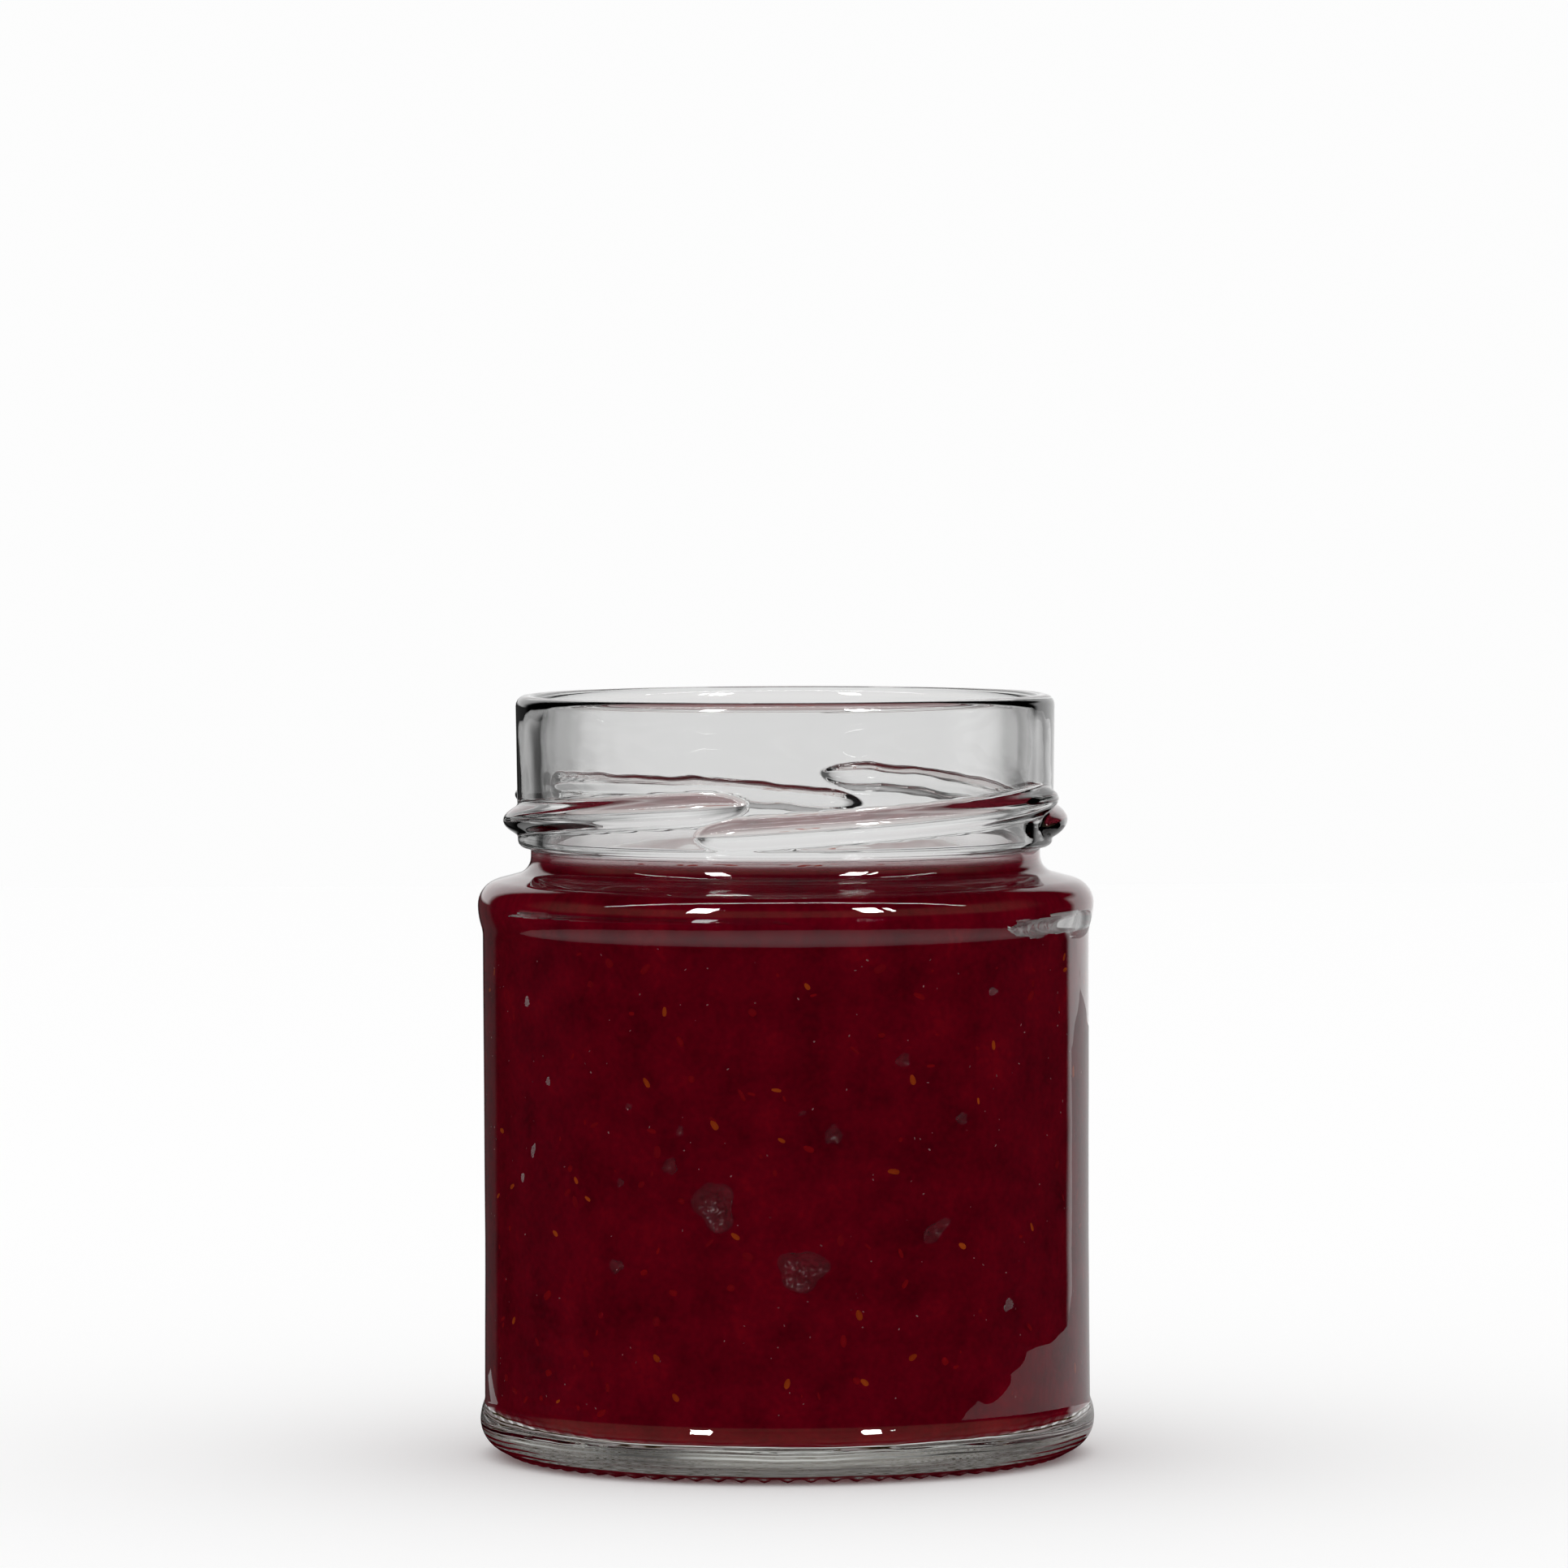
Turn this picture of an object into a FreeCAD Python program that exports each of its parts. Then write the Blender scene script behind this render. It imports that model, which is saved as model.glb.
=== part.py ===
"""Twist-off glass jar with a deep four-start lug finish, open, filled with seeded berry jam.

Millimetres, +Z up. The origin is on the jar's axis, in the plane that its knurled foot stands on.
Two solids: the pressed-and-blown glass jar, and the jam that fills it up to the neck.
"""
import FreeCAD, Part

import math
import os

V = FreeCAD.Vector

# ---- overall sizes ------------------------------------------------------------------------
total_height = 84.3
finish_radius = 29.88           # outside of the finish, under the lip
body_overhang = 3.74            # the straight label panel stands this much further out
body_wall = 2.2
panel_waist = 0.1               # the panel draws in this much at its waist
waist_height = 24.0

# ---- foot and base --------------------------------------------------------------------------
heel_radius = 3.6
foot_width = 2.9                # of the flat bearing ring, inward from the heel
knurl_pitch = 2.43
knurl_drop = 0.42               # how far each knurl stands below the smooth bearing ring
knurl_half_width = 0.75         # radius of one knurl's round section
knurl_length = 2.0              # straight part of one knurl, along the radius
knurl_inset = 1.1               # from the heel to the knurls' middles
punt_step_height = 1.0          # rise of the rounded step inside the bearing ring
punt_step_width = 2.2
punt_rise = 0.9                 # further rise from the step to the middle of the underside
floor_thickness = 3.3           # glass over the bearing ring
floor_dome = 1.2                # how far the middle of the inside floor stands up
floor_corner_radius = 2.6

# ---- label rings: beads that stand proud of the panel at its foot and at the shoulder -------
base_ring_proud = 0.48
base_ring_blend = 2.5           # height over which the base bead runs back into the panel
base_ring_fullness = 0.75       # share of its blend that the bead's own round takes
shoulder_ring_proud = 0.54
shoulder_ring_blend = 3.5
shoulder_ring_drop = 23.2       # from the rim down to the shoulder bead's widest line
shoulder_ring_fullness = 0.65   # share of its blend that the bead's own round takes

# ---- shoulder -------------------------------------------------------------------------------
shoulder_radius = 2.9           # round over the shoulder's outer edge
shoulder_turn = 75.0            # degrees turned before the shoulder runs straight to the neck
inner_shoulder_radius = 1.5
neck_fillet_radius = 1.95
inner_neck_fillet_radius = 3.6

# ---- finish: neck groove, collar, wall and lip ----------------------------------------------
neck_inset = 1.63               # the neck groove is this much narrower than the finish
finish_height = 17.25           # from the rim down to where the neck groove meets the collar
groove_corner_radius = 0.4
collar_edge_radius = 0.85       # round lower edge of the collar
finish_taper = 0.2              # the finish is this much narrower at the collar
finish_wall = 2.36
neck_wall = 1.7

# ---- lug threads ----------------------------------------------------------------------------
thread_starts = 4
thread_rise = 1.6               # how far a thread stands out of the wall
thread_half_height = 1.7
thread_core_depth = 0.15        # the section's middle lies this far inside the wall
thread_drop = 13.9              # from the rim to the thread's middle, where it faces the front
thread_lead = 12.0              # climb of one thread in a full turn
thread_first_angle = -18.5      # degrees from the front at which the front thread begins
thread_span = 100.0             # degrees that one thread covers
thread_run_in = 9.0             # degrees over which a thread swells from nothing
thread_run_out = 12.0           # degrees over which it dies away
thread_tip = 0.06               # size of the first and last section, as a share of the full one
front_angle = -90.0             # the front is -Y

# ---- jam ------------------------------------------------------------------------------------
headspace = 18.4                # from the rim down to the jam
meniscus_radius = 0.7

# ---- radii and heights that follow ----------------------------------------------------------
panel_radius = finish_radius + body_overhang
neck_radius = finish_radius - neck_inset
foot_z = knurl_drop
heel_top_z = foot_z + heel_radius
base_ring_radius = panel_radius + base_ring_proud
foot_outer_radius = base_ring_radius - heel_radius
foot_inner_radius = foot_outer_radius - foot_width
knurl_ring_radius = foot_outer_radius - knurl_inset
knurl_count = round(2 * math.pi * knurl_ring_radius / knurl_pitch)
shoulder_ring_z = total_height - shoulder_ring_drop
shoulder_ring_radius = panel_radius + shoulder_ring_proud
groove_top_z = total_height - finish_height
collar_z = groove_top_z + groove_corner_radius
collar_top_z = collar_z + collar_edge_radius
floor_z = foot_z + floor_thickness
lip_radius = finish_wall / 2
lip_base_z = total_height - lip_radius
fill_z = total_height - headspace
inner_panel_radius = panel_radius - body_wall
bore_radius = finish_radius - finish_wall
inner_neck_radius = neck_radius - neck_wall
collar_radius = finish_radius - finish_taper


def unit(angle):
    """Direction at an angle in degrees, in the profile's plane, where x is the radius and y is up."""
    return V(math.cos(math.radians(angle)), math.sin(math.radians(angle)), 0)


class Profile:
    """A half section drawn as a run of lines and tangent arcs: x is the radius and y is the height."""

    def __init__(self, radius, height, heading):
        self.at = V(radius, height, 0)
        self.heading = unit(heading)
        self.edges = []

    def turn_to(self, heading):
        self.heading = unit(heading)

    def line_to(self, radius, height):
        end = V(radius, height, 0)
        self.edges.append(Part.LineSegment(self.at, end).toShape())
        self.heading = (end - self.at).normalize()
        self.at = end

    def arc_to(self, radius, height):
        """An arc that leaves in the present heading and ends at the point."""
        end = V(radius, height, 0)
        chord = end - self.at
        normal = V(-self.heading.y, self.heading.x, 0)
        reach = chord.dot(chord) / (2 * chord.dot(normal))
        centre = self.at + normal * reach
        middle = centre + ((self.at - centre) + (end - centre)).normalize() * abs(reach)
        self.edges.append(Part.Arc(self.at, middle, end).toShape())
        along = chord.normalize()
        self.heading = along * (2 * self.heading.dot(along)) - self.heading
        self.at = end

    def bend_to(self, radius, height, first=0.5):
        """Two arcs, an S, to a point that is left in the present heading; first is the first arc's share."""
        joint = self.at + (V(radius, height, 0) - self.at) * first
        self.arc_to(joint.x, joint.y)
        self.arc_to(radius, height)

    def wire(self):
        return Part.Wire(self.edges)


def fillet_points(through, heading, wall_radius, fillet_radius):
    """Where a round between a sloping run and an upright wall starts and ends.

    The run passes through the point in the given heading, and the round lies on the wall's outer side.
    """
    run = unit(heading)
    centre_x = wall_radius + fillet_radius
    side = V(run.y, -run.x, 0)
    if side.y < 0:
        side = side * -1
    start_x = centre_x - fillet_radius * side.x
    start_y = through.y + (start_x - through.x) * run.y / run.x
    return V(start_x, start_y, 0), V(wall_radius, start_y + fillet_radius * side.y, 0)


def shoulder_slope_start():
    """Where the shoulder's outer round ends and its straight slope begins."""
    centre = V(shoulder_ring_radius - shoulder_radius, shoulder_ring_z, 0)
    return centre + unit(shoulder_turn) * shoulder_radius


def outer_profile():
    """From the middle of the underside, round the heel and up to the crest of the lip."""
    step_radius = foot_inner_radius - punt_step_width
    step_z = foot_z + punt_step_height
    slope = shoulder_slope_start()
    fillet_start, fillet_end = fillet_points(slope, 90 + shoulder_turn, neck_radius, neck_fillet_radius)

    line = Profile(0, step_z + punt_rise, 0)
    line.arc_to(step_radius, step_z)
    line.turn_to(0)
    line.bend_to(foot_inner_radius, foot_z)
    line.line_to(foot_outer_radius, foot_z)
    line.arc_to(base_ring_radius, heel_top_z)
    line.bend_to(panel_radius, heel_top_z + base_ring_blend, base_ring_fullness)
    line.line_to(panel_radius - panel_waist, waist_height)
    line.line_to(panel_radius, shoulder_ring_z - shoulder_ring_blend)
    line.turn_to(90)
    line.bend_to(shoulder_ring_radius, shoulder_ring_z, 1 - shoulder_ring_fullness)
    line.arc_to(slope.x, slope.y)
    line.line_to(fillet_start.x, fillet_start.y)
    line.arc_to(fillet_end.x, fillet_end.y)
    line.line_to(neck_radius, groove_top_z)
    line.arc_to(neck_radius + groove_corner_radius, collar_z)
    line.line_to(collar_radius - collar_edge_radius, collar_z)
    line.arc_to(collar_radius, collar_top_z)
    line.line_to(finish_radius, lip_base_z)
    line.turn_to(90)
    line.arc_to(finish_radius - lip_radius, total_height)
    return line.wire()


def inner_profile():
    """From the middle of the inside floor, up the wall and the bore to the crest of the lip."""
    slope_outer = shoulder_slope_start()
    inward = unit(shoulder_turn) * -body_wall
    slope = slope_outer + inward
    fillet_start, fillet_end = fillet_points(
        slope, 90 + shoulder_turn, inner_neck_radius, inner_neck_fillet_radius)
    recess_radius = inner_panel_radius + shoulder_ring_proud
    round_centre_x = recess_radius - inner_shoulder_radius
    round_end_x = round_centre_x + inner_shoulder_radius * unit(shoulder_turn).x
    rise = inner_shoulder_radius * unit(shoulder_turn).y
    run = unit(90 + shoulder_turn)
    round_end_z = slope.y + (round_end_x - slope.x) * run.y / run.x
    recess_z = round_end_z - rise

    line = Profile(0, floor_z + floor_dome, 0)
    line.arc_to(inner_panel_radius - floor_corner_radius, floor_z)
    line.turn_to(0)
    line.arc_to(inner_panel_radius, floor_z + floor_corner_radius)
    line.line_to(inner_panel_radius, recess_z - shoulder_ring_blend)
    line.bend_to(recess_radius, recess_z)
    line.arc_to(round_end_x, round_end_z)
    line.line_to(fillet_start.x, fillet_start.y)
    line.arc_to(fillet_end.x, fillet_end.y)
    line.line_to(bore_radius, lip_base_z)
    line.turn_to(90)
    line.arc_to(bore_radius + lip_radius, total_height)
    return line.wire()


def turned(edges):
    """The solid that a closed half section, drawn with x as the radius and y as the height, turns into."""
    face = Part.Face(Part.Wire(edges))
    face.rotate(V(0, 0, 0), V(1, 0, 0), 90)
    return face.revolve(V(0, 0, 0), V(0, 0, 1), 360)


def thread_section(angle):
    """One closed section of a thread, angle degrees after its start, in the plane through the axis."""
    into_run_in = min(angle / thread_run_in, 1)
    into_run_out = min((thread_span - angle) / thread_run_out, 1)
    swell = min(math.sqrt(1 - (1 - into_run_in) ** 2), math.sqrt(1 - (1 - into_run_out) ** 2))
    size = max(swell, thread_tip)
    depth = (thread_rise + thread_core_depth) * size
    half_height = thread_half_height * size
    turn = thread_first_angle + angle
    height = total_height - thread_drop + thread_lead * turn / 360
    share = (height - collar_top_z) / (lip_base_z - collar_top_z)
    core_radius = collar_radius + finish_taper * share - thread_core_depth
    edge = Part.makeCircle(1)
    stretch = FreeCAD.Matrix()
    stretch.scale(V(depth, half_height, 1))
    edge = edge.transformGeometry(stretch)
    edge.rotate(V(0, 0, 0), V(1, 0, 0), 90)
    edge.translate(V(core_radius, 0, height))
    edge.rotate(V(0, 0, 0), V(0, 0, 1), front_angle + turn)
    return Part.Wire([edge])


def thread_angles():
    """Angles of the sections: close together where a thread swells and dies away."""
    ends = [0.0, 0.02, 0.08, 0.2, 0.38, 0.65, 1.0]
    swelling = [thread_run_in * share for share in ends]
    dying = [thread_span - thread_run_out * share for share in reversed(ends)]
    between = thread_span - thread_run_in - thread_run_out
    steps = max(4, round(between / 9))
    even = [thread_run_in + between * step / steps for step in range(1, steps)]
    return swelling + even + dying


def make_threads():
    first = Part.makeLoft([thread_section(angle) for angle in thread_angles()], True, False)
    threads = []
    for start in range(thread_starts):
        thread = first.copy()
        thread.rotate(V(0, 0, 0), V(0, 0, 1), 360 * start / thread_starts)
        threads.append(thread)
    return threads


def make_knurls():
    """Short round bars that lie along the radius and stand below the bearing ring."""
    inner_end = knurl_ring_radius - knurl_length / 2
    bar = Part.makeCylinder(knurl_half_width, knurl_length, V(inner_end, 0, knurl_half_width), V(1, 0, 0))
    ends = [Part.makeSphere(knurl_half_width, V(x, 0, knurl_half_width))
            for x in (inner_end, inner_end + knurl_length)]
    knurl = bar.multiFuse(ends).removeSplitter()
    knurls = []
    for index in range(knurl_count):
        copy = knurl.copy()
        copy.rotate(V(0, 0, 0), V(0, 0, 1), 360 * (index + 0.5) / knurl_count)
        knurls.append(copy)
    return knurls


def cavity_section():
    """Edges of the half section that holds what the jar can, up to the crest of its lip."""
    crest = V(bore_radius + lip_radius, total_height, 0)
    middle = V(0, total_height, 0)
    top = Part.LineSegment(crest, middle).toShape()
    axis = Part.LineSegment(middle, V(0, floor_z + floor_dome, 0)).toShape()
    return inner_profile().Edges + [top, axis]


def make_glass():
    outer = outer_profile()
    inner = inner_profile()
    bottom = outer.Edges[0].Vertexes[0].Point
    floor = inner.Edges[0].Vertexes[0].Point
    axis = Part.LineSegment(floor, bottom).toShape()
    body = turned(outer.Edges + inner.Edges[::-1] + [axis])
    return body.multiFuse(make_threads() + make_knurls())


def make_jam():
    """The cavity's contents up to the fill line, with a small meniscus where the jam wets the wall."""
    cavity = cavity_section()
    level = Part.LineSegment(V(0, fill_z, 0), V(panel_radius, fill_z, 0)).toShape()
    wall_radius = level.common(Part.Face(Part.Wire(cavity))).BoundBox.XMax
    reach = wall_radius - meniscus_radius
    below = Profile(0, 0, 0)
    below.line_to(panel_radius, 0)
    below.line_to(panel_radius, fill_z + meniscus_radius)
    below.line_to(wall_radius, fill_z + meniscus_radius)
    below.turn_to(-90)
    below.arc_to(reach, fill_z)
    below.line_to(0, fill_z)
    below.line_to(0, 0)
    return turned(cavity).common(turned(below.edges))


def main():
    os.makedirs("parts", exist_ok=True)
    for name, shape in {"jar": make_glass(), "jam": make_jam()}.items():
        volume_ml = round(shape.Volume / 1000, 1)
        print(name, "solids", len(shape.Solids), "valid", shape.isValid(), "ml", volume_ml)
        shape.exportStep("parts/" + name + ".step")
    print("brimful ml", round(turned(cavity_section()).Volume / 1000, 1))


main()
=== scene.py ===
"""Looks of the open twist-off glass jar filled with seeded berry jam.

The glass and the jam are rebuilt here as fine smooth meshes on the frame's own sizes, and the seeds, pulp
and air in the jam are added. Half sections are drawn in millimetres and turned round the jar's axis.
"""

import math
import random

import bmesh
import bpy
import numpy as np
from mathutils import Matrix, Vector, noise


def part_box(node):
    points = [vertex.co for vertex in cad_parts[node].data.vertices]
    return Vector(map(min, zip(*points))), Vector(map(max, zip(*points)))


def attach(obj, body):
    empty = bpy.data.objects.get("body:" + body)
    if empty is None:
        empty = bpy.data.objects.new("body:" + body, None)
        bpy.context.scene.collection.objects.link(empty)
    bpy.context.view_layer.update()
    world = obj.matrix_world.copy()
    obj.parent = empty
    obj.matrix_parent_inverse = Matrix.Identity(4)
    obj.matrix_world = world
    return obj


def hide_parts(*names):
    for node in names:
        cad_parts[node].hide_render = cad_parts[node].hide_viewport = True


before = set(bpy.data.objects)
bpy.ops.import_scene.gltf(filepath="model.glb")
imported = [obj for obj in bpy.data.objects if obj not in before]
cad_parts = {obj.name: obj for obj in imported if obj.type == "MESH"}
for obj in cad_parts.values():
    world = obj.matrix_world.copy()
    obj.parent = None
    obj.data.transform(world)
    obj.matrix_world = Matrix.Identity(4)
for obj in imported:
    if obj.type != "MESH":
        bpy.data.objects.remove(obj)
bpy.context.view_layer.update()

MM = 0.001
FRONT = -90.0                    # degrees: the front of the jar is -Y
glass_ior = 1.52
gel_ior = 1.43

# ---- sizes read from the frame, in millimetres -
jar_low, jar_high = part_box("jar")
_, jam_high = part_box("jam")
total_height = (jar_high.z - jar_low.z) / MM
shoulder_ring_radius = (jar_high.y - jar_low.y) / 2 / MM
jam_top_rim = jam_high.z / MM

# ---- the glass's own sizes, in millimetres -----
shoulder_ring_proud = 0.54
base_ring_proud = 0.48
panel_radius = shoulder_ring_radius - shoulder_ring_proud
finish_radius = panel_radius - 3.74
neck_radius = finish_radius - 1.63
base_ring_radius = panel_radius + base_ring_proud
body_wall = 2.2
finish_wall = 2.36
neck_wall = 1.7
panel_waist = 0.1
waist_height = 24.0
heel_radius = 3.6
foot_width = 2.9
knurl_count = 76
knurl_columns = 7                # columns of the glass mesh to each knurl
knurl_drop = 0.42
knurl_sharpness = 1.6
knurl_run_in = 0.9               # the knurls fade out towards the foot's inner and outer edges
knurl_run_out = 1.6
knurl_overrun = 1.2              # how far past the foot they reach
base_ring_blend = 2.5
base_ring_fullness = 0.75        # share of its blend that the bead's own round takes
shoulder_ring_blend = 3.5
shoulder_ring_foot = 0.35        # share of its blend that the round off the panel takes
shoulder_ring_z = total_height - 23.2
shoulder_radius = 2.9
shoulder_turn = 75.0
neck_fillet_radius = 1.95
inner_shoulder_radius = 1.5
inner_neck_fillet_radius = 3.6
groove_top_z = total_height - 17.25
groove_corner_radius = 0.4
collar_edge_radius = 0.85
collar_radius = finish_radius - 0.2
collar_lean = 0.1                # how much the wall widens over the threads
thread_zone_half_height = 5.0
floor_thickness = 3.3
floor_dome = 1.2
punt_step_height = 1.0           # rise of the step inside the bearing ring
punt_step_width = 2.2
punt_rise = 0.9                  # further rise to the middle of the underside
floor_corner_radius = 2.6
lip_radius = finish_wall / 2
lip_base_z = total_height - lip_radius
bore_radius = finish_radius - finish_wall
inner_neck_radius = neck_radius - neck_wall
inner_panel_radius = panel_radius - body_wall
foot_outer_radius = base_ring_radius - heel_radius
foot_inner_radius = foot_outer_radius - foot_width

# ---- threads -----------------------------------
thread_starts = 4
thread_rise = 1.6
thread_half_height = 1.7
thread_core_depth = 0.15
thread_middle_z = total_height - 13.9
thread_lead = 12.0
thread_first_angle = -18.5
thread_span = 100.0
thread_run_in = 9.0
thread_run_out = 12.0
thread_fillet = 0.3
thread_tip = 0.02                # least share of its size that a thread has

# ---- jam ---------------------------------------
meniscus_radius = 0.7
fill_z = jam_top_rim - meniscus_radius
jam_reach = 0.06                 # the jam reaches this far into the glass, so that no air gap shows
jam_edge_drop = 0.9              # the set surface sinks this much towards the wall
jam_edge_width = 4.0
jam_edge_heading = 115.0         # degrees: the surface leaves the wall leaning inward
jam_top_sag = 0.2
jam_row = 0.55                   # rows and columns of the jam's skin, before it is divided round the air
jam_column = 0.6
film_low_z = fill_z - 1.3        # the smear of jam on the neck wall fades out between these heights
film_high_z = fill_z + 2.4
film_foot = 0.2                  # how far the smear goes on below the lower one
film_reaches = (0.09, 0.03)      # its two sides lie this far into the glass
pocket_roughness = 0.15          # share of a bubble's roughness
least_air_depth = 0.05           # dents deeper than this have the skin of air
air_skin = 2                     # its place among the jam's skins
back_bubble_count = 20
chance_seed_count = 70           # seeds by chance all round, of which the front's are left out
front_seed_reach = 60            # degrees either side of the front that have listed seeds
top_seed_count = 12
pulp_count = 300
speck_count = 420

# Bubbles against the glass: degrees right of the front, height, half width, half height, tilt, depth.
front_bubbles = [
    (-14, 30.1, 2.1, 2.8, 20, 1.2), (3, 23.2, 2.6, 2.2, 10, 1.3), (30, 27.1, 1.9, 0.8, 38, 0.8),
    (9, 37.8, 0.9, 1.0, 0, 0.6), (-23, 34.3, 0.8, 0.9, 0, 0.6), (36, 39.1, 0.7, 0.65, 0, 0.5),
    (23, 45.7, 0.8, 0.7, 30, 0.5), (-35, 23.2, 0.9, 0.7, 0, 0.5), (-34, 32.3, 0.45, 0.45, 0, 0.35),
    (-60, 51.3, 0.45, 0.6, 0, 0.3), (-53, 42.8, 0.35, 0.5, 0, 0.3), (-58, 35.1, 0.35, 0.8, -20, 0.3),
    (-62, 32.0, 0.35, 0.5, 0, 0.3), (-32, 40.6, 0.4, 0.35, 0, 0.3), (44, 52.7, 0.6, 0.45, 0, 0.3),
    (-21, 38.1, 0.4, 0.6, -15, 0.3), (3, 40.2, 0.45, 0.25, 20, 0.25), (48, 18.4, 0.8, 0.6, 35, 0.4)]
# Air left under the shoulder: from and to in degrees, height at the ends and middle, half height, depth.
shoulder_pockets = [(-66, 2, 60.5, 60.9, 0.2, 0.35), (48, 122, 59.5, 59.7, 1.25, 2.4),
                    (150, 195, 60.2, 60.4, 0.5, 0.8), (232, 262, 59.8, 60.0, 0.8, 1.4)]
# Seeds against the glass at the front: degrees right of the front, height.
front_seeds = [
    (4, 53.9), (-24, 51.1), (-28, 43.3), (-2, 42.7), (25, 43.6), (40, 41.0), (-45, 32.3), (-51, 26.3),
    (-10, 26.9), (55, 26.7), (36, 25.3), (-1, 37.3), (-14, 38.9), (21, 33.7), (44, 46.9), (-42, 30.4),
    (73, 43.0), (-26, 13.5), (25, 13.5), (14, 18.3), (0, 11.0), (15, 11.0), (-22, 9.3), (-50, 8.0)]


# ---- half sections -----------------------------

def heading_of(angle):
    """The unit step in a direction; the angle is in degrees."""
    return np.array([math.cos(math.radians(angle)), math.sin(math.radians(angle))])


class HalfSection:
    """A run of lines and tangent arcs, sampled as points of (radius, height)."""

    def __init__(self, radius, height, angle):
        self.points = [np.array([radius, height], float)]
        self.heading = heading_of(angle)

    def turn_to(self, angle):
        self.heading = heading_of(angle)

    def line_to(self, radius, height, steps=1):
        start, end = self.points[-1], np.array([radius, height], float)
        self.points += [start + (end - start) * step / steps for step in range(1, steps + 1)]
        self.heading = (end - start) / np.linalg.norm(end - start)

    def arc_to(self, radius, height, steps):
        """An arc that leaves in the present heading and ends at the point."""
        start, end = self.points[-1], np.array([radius, height], float)
        chord = end - start
        normal = np.array([-self.heading[1], self.heading[0]])
        reach = chord @ chord / (2 * chord @ normal)
        centre = start + normal * reach
        along = chord / np.linalg.norm(chord)
        half_turn = math.atan2(along[1] * self.heading[0] - along[0] * self.heading[1], along @ self.heading)
        for step in range(1, steps + 1):
            turn = 2 * half_turn * step / steps
            c, s = math.cos(turn), math.sin(turn)
            arm = start - centre
            self.points.append(centre + np.array([c * arm[0] - s * arm[1], s * arm[0] + c * arm[1]]))
        self.heading = 2 * (self.heading @ along) * along - self.heading

    def bend_to(self, radius, height, steps, first=0.5):
        """Two arcs, an S, to a point that is left in the present heading."""
        start = self.points[-1]
        joint = start + (np.array([radius, height]) - start) * first
        self.arc_to(joint[0], joint[1], steps)
        self.arc_to(radius, height, steps)

    def array(self):
        return np.array(self.points)


def fillet_points(through, angle, wall_radius, fillet_radius):
    """Where a round between a sloping run and an upright wall starts and ends."""
    run = heading_of(angle)
    side = np.array([run[1], -run[0]])
    if side[1] < 0:
        side = -side
    start_r = wall_radius + fillet_radius * (1 - side[0])
    start_z = through[1] + (start_r - through[0]) * run[1] / run[0]
    return (start_r, start_z), (wall_radius, start_z + fillet_radius * side[1])


def shoulder_slope_start():
    centre = np.array([shoulder_ring_radius - shoulder_radius, shoulder_ring_z])
    return centre + heading_of(shoulder_turn) * shoulder_radius


def outer_section():
    """From the middle of the underside, round the heel and up to the crest of the lip."""
    foot_z = knurl_drop
    step_z = foot_z + punt_step_height
    step_radius = foot_inner_radius - punt_step_width
    slope = shoulder_slope_start()
    fillet_start, fillet_end = fillet_points(slope, 90 + shoulder_turn, neck_radius, neck_fillet_radius)

    line = HalfSection(0, step_z + punt_rise, 0)
    line.arc_to(step_radius, step_z, 4)
    line.turn_to(0)
    line.bend_to(foot_inner_radius, foot_z, 3)
    line.line_to(foot_outer_radius, foot_z, 8)
    line.arc_to(base_ring_radius, foot_z + heel_radius, 11)
    line.bend_to(panel_radius, foot_z + heel_radius + base_ring_blend, 6, base_ring_fullness)
    line.line_to(panel_radius - panel_waist, waist_height, 4)
    line.line_to(panel_radius, shoulder_ring_z - shoulder_ring_blend, 6)
    line.turn_to(90)
    line.bend_to(shoulder_ring_radius, shoulder_ring_z, 5, shoulder_ring_foot)
    line.arc_to(*slope, 9)
    line.line_to(*fillet_start)
    line.arc_to(*fillet_end, 6)
    line.line_to(neck_radius, groove_top_z)
    line.arc_to(neck_radius + groove_corner_radius, groove_top_z + groove_corner_radius, 3)
    line.line_to(collar_radius - collar_edge_radius, groove_top_z + groove_corner_radius)
    line.arc_to(collar_radius, groove_top_z + groove_corner_radius + collar_edge_radius, 4)
    line.line_to(collar_radius + collar_lean, thread_middle_z + thread_zone_half_height, 28)
    line.line_to(finish_radius, lip_base_z, 3)
    line.turn_to(90)
    line.arc_to(finish_radius - lip_radius, total_height, 5)
    return line.array()


def inner_section():
    """From the middle of the inside floor, up the wall and the bore to the crest of the lip."""
    floor_z = knurl_drop + floor_thickness
    slope = shoulder_slope_start() - heading_of(shoulder_turn) * body_wall
    fillet_start, fillet_end = fillet_points(
        slope, 90 + shoulder_turn, inner_neck_radius, inner_neck_fillet_radius)
    recess_radius = inner_panel_radius + shoulder_ring_proud
    turn = heading_of(shoulder_turn)
    round_end_r = recess_radius - inner_shoulder_radius * (1 - turn[0])
    run = heading_of(90 + shoulder_turn)
    round_end_z = slope[1] + (round_end_r - slope[0]) * run[1] / run[0]
    recess_z = round_end_z - inner_shoulder_radius * turn[1]

    line = HalfSection(0, floor_z + floor_dome, 0)
    line.arc_to(inner_panel_radius - floor_corner_radius, floor_z, 6)
    line.turn_to(0)
    line.arc_to(inner_panel_radius, floor_z + floor_corner_radius, 12)
    line.line_to(inner_panel_radius, recess_z - shoulder_ring_blend, 12)
    line.bend_to(recess_radius, recess_z, 4)
    line.arc_to(round_end_r, round_end_z, 6)
    line.line_to(*fillet_start)
    line.arc_to(*fillet_end, 8)
    line.line_to(bore_radius, lip_base_z, 5)
    line.turn_to(90)
    line.arc_to(bore_radius + lip_radius, total_height, 5)
    return line.array()


# ---- relief ------------------------------------

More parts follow.
